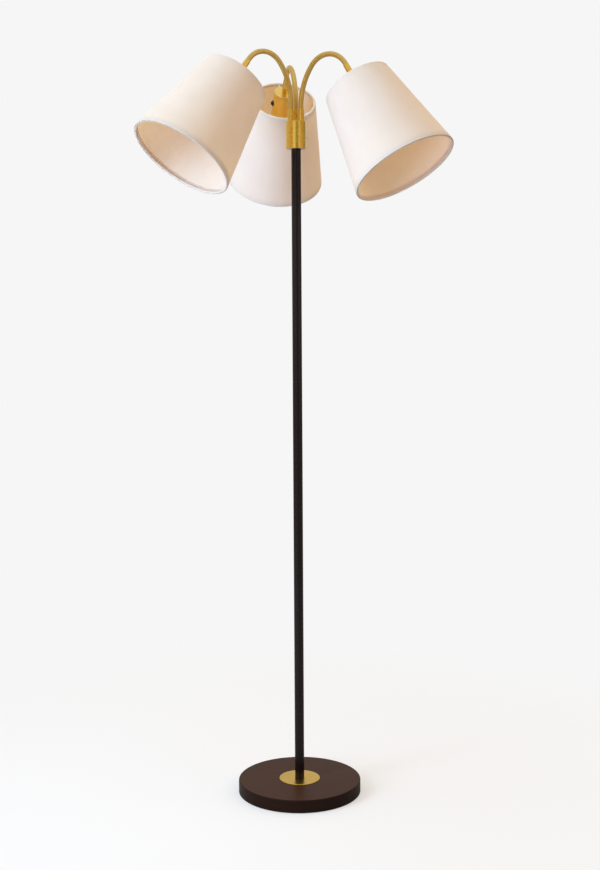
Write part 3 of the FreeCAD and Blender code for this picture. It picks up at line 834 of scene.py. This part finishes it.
for side in arms:
    place = head_place(side)
    body_of_head = f"{side}_head"
    holder_line = eased(
        [
            (0, -0.013, 0), (0.0051, -0.013, 0), (0.0051, -0.001, 0.0002),
            (0.0095, -0.001, 0.0004), (0.0165, -0.005, 0.0008), (0.0165, -0.0595, 0.0003),
            (0.02175, -0.0595, 0.0002), (0.02175, -cup_height, 0.0002),
            (skirt_radius, -cup_height, 0.0002), (skirt_radius, -skirt_end, 0.0006),
            (0.0152, -skirt_end, 0.0005), (0.0152, -0.066, 0.0003), (0.0134, -0.066, 0.0003),
            (0.0134, -0.0395, 0.0003), (0.0025, -0.0395, 0.0001), (0.0025, -0.04, 0.0001),
            (0, -0.04, 0),
        ],
        3,
    )
    holder = turned(
        f"{side}_holder_moulding",
        stepped(holder_line, -skirt_end, -cup_height, thread_pitch / 8),
        place,
        96,
        screwed(-skirt_end, -cup_height - 0.0012, thread_pitch, thread_depth, 0.017),
    )
    wearing(holder, holder_black, f"{side}_holder", body_of_head)

    ring_top, ring_foot, ring_radius = -cup_height - 0.0016, -cup_height - 0.0086, 0.026

    def notched(radius, height, turn):
        off = np.abs((turn * 12 / (2 * math.pi) + 0.5) % 1.0 - 0.5) * 2 * math.pi * ring_radius / 12
        dip = np.sqrt(np.maximum(0.002**2 - off**2, 0.0)) - 0.001
        return np.where(radius > 0.024, radius - np.maximum(dip, 0.0), radius)

    ring = turned(
        f"{side}_lock_ring",
        eased(
            [
                (skirt_radius + 0.00005, ring_foot, 0.0002), (ring_radius, ring_foot, 0.0008),
                (ring_radius, ring_top, 0.0003), (skirt_radius + 0.00005, ring_top, 0.0002),
            ],
            4,
        ),
        place,
        288,
        notched,
    )
    wearing(ring, holder_black, f"{side}_shade_ring", body_of_head)

    cap_line = eased(
        [
            (0, -bulb_start, 0), (0.0041, -bulb_start, 0.0006),
            (0.005, -bulb_start - 0.00125, 0.0005), (0.0094, -bulb_start - 0.0025, 0.0005),
            (cap_radius, -bulb_start - 0.005, 0.0008),
            (cap_radius, -bulb_start - cap_length, 0.0002), (0, -bulb_start - cap_length, 0),
        ],
        3,
    )
    cap = turned(
        f"{side}_bulb_screw",
        stepped(cap_line, -bulb_start - cap_length, -bulb_start, 0.0004),
        place,
        72,
        screwed(-bulb_start - cap_length + 0.003, -bulb_start - 0.004, 0.0036, 0.0009, 0.011),
    )
    wearing(cap, nickel, f"{side}_bulb_cap", body_of_head)

    centre = -bulb_start - bulb_length + globe
    join = math.acos(bulb_neck / globe)
    glass = [(0.0, -bulb_start - cap_length), (bulb_neck, -bulb_start - cap_length)]
    turns_down = np.linspace(join, -math.pi / 2, 40)
    bow = [(globe * math.cos(a), centre + globe * math.sin(a)) for a in turns_down]
    bow[-1] = (0.0, centre - globe)
    # the neck swells into the globe over a soft shoulder
    glass += [(bulb_neck, bow[0][1] + 0.0012)] + bow
    globe_piece = turned(f"{side}_bulb_globe", glass, place, 72)
    wearing(globe_piece, opal, f"{side}_bulb_glass", body_of_head)

# ---- Shade frames ----
# White coated steel wire: a ring for each hem of the shade, and three spokes welded to the
# upper ring and to a flat washer, which the lock ring clamps against the lampholder.
shade_drop, shade_top, shade_foot, shade_height = 0.02, 0.0665, 0.1025, 0.195
fabric_thickness, ring_wire, spoke_wire = 0.001, 0.0028, 0.003
ring_inset = 0.0008 + 0.0003 + ring_wire / 2
hub_radius, hub_thickness, hub_hole = 0.025, 0.0016, 0.0201


def shade_radius(depth):
    return shade_top + (shade_foot - shade_top) * depth / shade_height


def wire_ring_radius(depth):
    return shade_radius(depth) - fabric_thickness - 0.0003 - ring_wire / 2 - 0.00005


def rod(name, start, end, radius, place):
    """A straight wire with rounded ends."""
    length = (end - start).length
    tip = radius * 0.6
    outline = eased([(0, 0, 0), (radius, 0, tip), (radius, length, tip), (0, length, 0)], 4)
    aim = (end - start).to_track_quat("Z", "Y").to_matrix().to_4x4()
    return turned(name, outline, place @ Matrix.Translation(start) @ aim, 20)


def bead(name, centre, radius, place):
    """A small weld."""
    half_turn = np.linspace(-math.pi / 2, math.pi / 2, 9)
    outline = [(radius * math.cos(a), radius * 0.75 * math.sin(a)) for a in half_turn]
    outline[0], outline[-1] = (0.0, -0.75 * radius), (0.0, 0.75 * radius)
    return turned(name, outline, place @ Matrix.Translation(centre), 16)


white_wire = moulding_finish("white_coated_wire", (0.76, 0.75, 0.71), (0.84, 0.83, 0.8), 0.38)
for side in arms:
    place = head_place(side)
    parts = []
    for depth in (ring_inset, shade_height - ring_inset):
        radius = wire_ring_radius(depth)
        loop = [
            (radius + ring_wire / 2 * math.cos(a), -shade_drop - depth + ring_wire / 2 * math.sin(a))
            for a in np.arange(16) * math.pi / 8
        ]
        parts.append(turned("loop", loop, place, 128))
    parts.append(
        turned(
            "hub",
            eased(
                [
                    (hub_hole, -cup_height, 0.0002), (hub_radius, -cup_height, 0.0003),
                    (hub_radius, -cup_height - hub_thickness, 0.0003),
                    (hub_hole, -cup_height - hub_thickness, 0.0002),
                ],
                3,
            ),
            place,
            96,
        )
    )
    for n in range(3):
        spin = Matrix.Rotation(math.radians(90 + 120 * n), 4, "Z")
        start = Vector((wire_ring_radius(ring_inset), 0, -shade_drop - ring_inset))
        end = Vector((hub_radius - spoke_wire / 2, 0, -cup_height - hub_thickness / 2))
        parts.append(rod("spoke", start, end, spoke_wire / 2, place @ spin))
        parts.append(bead("weld", start, 0.0022, place @ spin))
    wires = gathered(f"{side}_shade_wires", parts)
    wearing(wires, white_wire, f"{side}_shade_frame", f"{side}_head")

# ---- Shades ----
# Off-white cotton on a stiff white backing, cut flat as part of a ring, lapped and glued
# into a cone, with each edge rolled round its wire and glued down inside as a hem.
hem_cloth, hem_depth = 0.0005, 0.0095
lean = math.atan2(shade_foot - shade_top, shade_height)
apex = shade_top / math.sin(lean)
warp_per_metre, weft_per_metre = 1900.0, 1750.0


def cloth_finish(name, lit, shade, weave_height, through):
    """Plain weave that follows the flat cut: warp and weft threads, with slubs."""
    cloth, shader, add = finish_kit(name)
    flat = add("UVMap", uv_map="cut").outputs[0]
    split = add("SeparateXYZ", {0: flat})
    wander = plain_noise(add, flat, 260.0, 3.0)
    threads, waves = [], []
    for axis, count in ((0, warp_per_metre), (1, weft_per_metre)):
        run = sums(add, "MULTIPLY", split.outputs[axis], count * math.pi)
        waves.append(sums(add, "SINE", run))
        run = sums(add, "ADD", run, sums(add, "MULTIPLY", wander, 5.0))
        threads.append(sums(add, "ABSOLUTE", sums(add, "SINE", run)))
    side_up = spread(add, sums(add, "MULTIPLY", *waves), -0.2, 0.2)
    weave = sums(
        add,
        "ADD",
        sums(add, "MULTIPLY", threads[0], side_up),
        sums(add, "MULTIPLY", threads[1], sums(add, "SUBTRACT", 1.0, side_up)),
    )
    slub_place = add("Mapping", {"Vector": flat, "Scale": (900.0, 26.0, 1.0)}).outputs[0]
    slubs = plain_noise(add, slub_place, 1.0, 3.0, 0.6)
    cross_place = add("Mapping", {"Vector": flat, "Scale": (26.0, 900.0, 1.0)}).outputs[0]
    slubs = sums(add, "ADD", slubs, plain_noise(add, cross_place, 1.0, 3.0, 0.6))
    cloud = plain_noise(add, flat, 18.0, 3.0)
    tone = blended(add, spread(add, cloud, 0.3, 0.7), lit, shade)
    tone = blended(add, spread(add, slubs, 0.8, 1.25, 0.0, 0.06), tone, (0.66, 0.58, 0.5))
    tone = blended(add, spread(add, weave, 0.0, 0.5, 0.07, 0.0), tone, (0.6, 0.52, 0.44))
    height = sums(add, "ADD", weave, sums(add, "MULTIPLY", slubs, 0.8))
    shader.inputs["Sheen Weight"].default_value = 0.15
    shader.inputs["Sheen Roughness"].default_value = 0.5
    shader.inputs["Specular IOR Level"].default_value = 0.25
    wear(shader, tone, spread(add, slubs, 0.8, 1.2, 0.82, 0.92), height, weave_height, add)
    glow = add("BsdfTranslucent")
    links = cloth.node_tree.links
    warmth = blended(add, spread(add, cloud, 0.3, 0.7), (0.98, 0.74, 0.46), (0.95, 0.71, 0.43))
    links.new(warmth, glow.inputs[0])
    mixed = add("MixShader", {0: through, 1: shader.outputs[0], 2: glow.outputs[0]})
    links.new(mixed.outputs[0], cloth.node_tree.nodes["Material Output"].inputs["Surface"])
    return cloth


fabric = cloth_finish("off_white_cotton", (0.93, 0.9, 0.865), (0.91, 0.875, 0.835), 0.00008, 0.45)
backing = cloth_finish("white_backing", (0.92, 0.885, 0.845), (0.9, 0.865, 0.82), 0.00002, 0.45)
# painted shade for the thin line along the outer edge of the foot's fold
painted_hem_shade = cloth_finish("hem_line_painted_shade", (0.58, 0.48, 0.39), (0.51, 0.42, 0.34), 0.00005, 0.1)


def shade_outline():
    """The cloth's closed section, as (inset from the outer cone, depth) points: down the outside,
    round the lower wire and up to the hem's edge, back behind the hem and round the wire's
    pocket, up the inside, and the same in reverse at the top. Also the numbers of the points
    at which the inside starts and ends."""
    wire_inset = shade_top - wire_ring_radius(0)
    pocket, face = ring_wire / 2 + 0.0002, fabric_thickness
    behind, front = face + 0.00006, face + 0.00006 + hem_cloth
    bulge = wire_inset + pocket + hem_cloth
    drop = 0.0023

    def hem(flip):
        """The hem of one edge, from the outside to the inside, at depths under that edge."""
        points = []
        for a in np.linspace(0.12, math.pi - 0.12, 13):
            across = bulge / 2 * (1 - math.copysign(abs(math.cos(a)) ** 0.75, math.cos(a)))
            points.append((across, drop - drop * math.sin(a) ** 0.75))
        for u in np.linspace(0, 1, 9):
            ease = 0.5 + 0.5 * math.cos(math.pi * u)
            points.append((front + (bulge - front) * ease, drop + 0.0046 * u))
        points += [(front, hem_depth - 0.0002), (front - 0.00015, hem_depth), (behind, hem_depth)]
        points.append((behind, 0.0048))
        for a in np.radians(np.linspace(-75, 190, 14)):
            points.append((wire_inset + pocket * math.cos(a), ring_inset - pocket * math.sin(a)))
        points.append((face, 0.0046))
        if not flip:
            return [(inset, shade_height - d) for inset, d in points]
        return [(inset, d) for inset, d in reversed(points)]

    low, high = hem(False), hem(True)
    outside = [(0.0, d) for d in np.linspace(0.003, shade_height - 0.003, 25)]
    inside = [(face, d) for d in np.linspace(shade_height - 0.006, 0.006, 25)]
    return outside + low + inside + high, len(outside) + len(low), len(outside) + len(low + inside)


def shade_cloth(name, place, seam_turn, turns=192):
    """The shade's cloth, with the map "cut", which lays each point where it lay on the flat cut."""
    section, inner_start, inner_end = shade_outline()
    count = len(section)
    # painted shade: a thin darker line along the outer edge of the foot's fold
    painted_shade_rows = [
        i
        for i, (inset, d) in enumerate(section)
        if shade_height - d < 0.0012 and inset < 0.0019
    ]
    line = np.array([(shade_radius(d) - inset, -shade_drop - d) for inset, d in section])
    steps = np.linalg.norm(np.roll(line, -1, 0) - line, axis=1)
    run = np.concatenate(((0.0,), np.cumsum(steps)))
    angle = seam_turn + np.arange(turns) * 2 * math.pi / turns
    # the stiff cone is not quite round, and the lap is a slightly raised strip down its back
    off_seam = np.minimum(np.arange(turns), turns - np.arange(turns)) * 2 * math.pi / turns
    points = []
    for r, z in line:
        lap = 0.00035 / (1 + np.exp((off_seam * r - 0.005) / 0.0005))
        wave = 0.00012 * np.sin(2 * angle + 40 * z) + 0.00008 * np.sin(5 * angle - 25 * z)
        radius = r + np.minimum(lap - 0.00035 + wave, 0.0)
        points += list(zip(radius * np.cos(angle), radius * np.sin(angle), np.full(turns, z)))
    faces, maps, backs = [], [], []
    for i in range(count):
        nxt = (i + 1) % count
        for j in range(turns):
            k = (j + 1) % turns
            faces.append([i * turns + j, i * turns + k, nxt * turns + k, nxt * turns + j])
            backs.append(2 if i in painted_shade_rows else 1 if inner_start - 1 <= i < inner_end else 0)
            for q, s in ((j, i), (j + 1, i), (j + 1, i + 1), (j, i + 1)):
                out = apex + run[s]
                spread_angle = q / turns * 2 * math.pi * math.sin(lean)
                maps.append((out * math.sin(spread_angle), out * math.cos(spread_angle)))
    mesh = bpy.data.meshes.new(name)
    mesh.from_pydata([tuple(p) for p in points], [], faces)
    cut = mesh.uv_layers.new(name="cut")
    cut.data.foreach_set("uv", np.array(maps, np.float32).ravel())
    mesh.materials.append(fabric)
    mesh.materials.append(backing)
    mesh.materials.append(painted_hem_shade)
    mesh.polygons.foreach_set("material_index", backs)
    mesh.transform(place)
    return smoothed(name, mesh, 50)


# the lap faces away from the front of the lamp
seam_turns = {"left": math.radians(200), "right": math.radians(-20), "back": math.radians(60)}
for side in arms:
    cloth = shade_cloth(f"{side}_shade_cover", head_place(side), seam_turns[side])
    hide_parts(f"{side}_shade_fabric")
    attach(cloth, f"{side}_head")

# ---- Floor and light ----
# A plain pale floor that fades into the same pale background. A tall cool soft lamp stands
# at the front left with a low one beside it, a weak warm one at the right, and a broad one
# hangs above. The metal shows none of the four: it shows the graded room set up below.
pale = (0.922, 0.922, 0.922, 1.0)
floor_white = (0.95, 0.87, 0.84, 1.0)


def floor_finish():
    paper, shader, add = finish_kit("pale_floor")
    place = add("TexCoord").outputs["Object"]
    rays = add("LightPath").outputs
    seen = sums(add, "MAXIMUM", rays["Is Camera Ray"], rays["Is Transmission Ray"])
    out = add("VectorMath", {0: place}, operation="LENGTH").outputs["Value"]
    near = spread(add, out, 0.2, 1.1, 0.55, 0.0)
    shader.inputs["Base Color"].default_value = (0.45, 0.44, 0.43, 1.0)
    shader.inputs["Roughness"].default_value = 1.0
    shader.inputs["Specular IOR Level"].default_value = 0.0
    sheet = add("BsdfDiffuse", {"Color": floor_white})
    glow = add("Emission", {"Color": pale, "Strength": 1.0})
    shown = add("MixShader", {0: near, 1: glow.outputs[0], 2: sheet.outputs[0]})
    whole = add("MixShader", {0: seen, 1: shader.outputs[0], 2: shown.outputs[0]})
    links = paper.node_tree.links
    links.new(whole.outputs[0], paper.node_tree.nodes["Material Output"].inputs["Surface"])
    return paper


ground = bpy.data.meshes.new("floor")
ground.from_pydata([(-9, -9, 0), (9, -9, 0), (9, 9, 0), (-9, 9, 0)], [], [(0, 1, 2, 3)])
ground.materials.append(floor_finish())
floor = bpy.data.objects.new("floor", ground)
bpy.context.scene.collection.objects.link(floor)


def soft_lamp(name, place, aim, size, power, tint):
    lamp = bpy.data.lights.new(name, "AREA")
    lamp.shape, lamp.size, lamp.size_y = "RECTANGLE", size[0], size[1]
    lamp.energy, lamp.color = power, tint
    fixture = bpy.data.objects.new(name, lamp)
    bpy.context.scene.collection.objects.link(fixture)
    turn = (Vector(aim) - Vector(place)).to_track_quat("-Z", "Y").to_matrix().to_4x4()
    fixture.matrix_world = Matrix.Translation(place) @ turn
    fixture.visible_glossy = False


soft_lamp("left_softbox", (-2.5, -1.75, 1.7), (0, 0, 1.0), (0.9, 2.0), 90.0, (0.46, 0.73, 0.98))
soft_lamp("low_softbox", (-1.7, -1.4, 0.35), (-0.2, -0.1, 1.25), (1.2, 0.8), 29.0, (0.58, 0.7, 1.0))
soft_lamp("warm_softbox", (2.5, 0.2, 2.3), (0, 0, 1.1), (0.9, 1.4), 13.0, (1.0, 0.68, 0.34))
soft_lamp("top_softbox", (-0.3, 0.1, 3.3), (0, 0, 0.9), (1.6, 1.6), 21.0, (0.76, 0.92, 1.0))

world = bpy.data.worlds.new("pale_room")
bpy.context.scene.world = world
world.use_nodes = True
room = world.node_tree
furnish = node_maker(room)
ambient = room.nodes["Background"]
ambient.inputs["Color"].default_value = (1.0, 0.96, 0.86, 1.0)
ambient.inputs["Strength"].default_value = 0.66
backdrop = furnish("Background", {"Color": pale})
# what the metal shows: a pale ceiling and five pale walls, with darker corners between them
corner_level = 0.24
way = furnish("TexCoord").outputs["Generated"]
wall_level = 0.0
for direction, low, high, most in (
    ((0.0, 0.0, 1.0), 0.25, 0.9, 0.6), ((-0.92, -0.35, 0.2), 0.6, 0.98, 0.5),
    ((-0.5, -0.86, 0.15), 0.82, 0.985, 0.72), ((0.84, -0.52, 0.12), 0.75, 0.985, 0.75),
    ((-0.55, 0.82, 0.15), 0.7, 0.98, 0.5), ((0.45, 0.85, 0.35), 0.75, 0.98, 0.5),
):
    wires = {0: way, 1: Vector(direction).normalized()}
    toward = furnish("VectorMath", wires, operation="DOT_PRODUCT").outputs["Value"]
    wires = {"Value": toward, "From Min": low, "From Max": high, "To Min": 0.0, "To Max": most}
    wall = furnish("MapRange", wires, interpolation_type="SMOOTHSTEP").outputs["Result"]
    wall_level = sums(furnish, "MAXIMUM", wall_level, wall)
shine = sums(furnish, "ADD", wall_level, corner_level)
glossy_room = furnish("Background", {"Color": (1.0, 0.985, 0.96, 1.0), "Strength": shine})
rays = furnish("LightPath").outputs
unseen = {0: rays["Is Glossy Ray"], 1: ambient.outputs[0], 2: glossy_room.outputs[0]}
unseen = furnish("MixShader", unseen).outputs[0]
seen = sums(furnish, "MAXIMUM", rays["Is Camera Ray"], rays["Is Transmission Ray"])
whole = furnish("MixShader", {0: seen, 1: unseen, 2: backdrop.outputs[0]})
room.links.new(whole.outputs[0], room.nodes["World Output"].inputs["Surface"])

bpy.context.scene.view_settings.view_transform = "Standard"
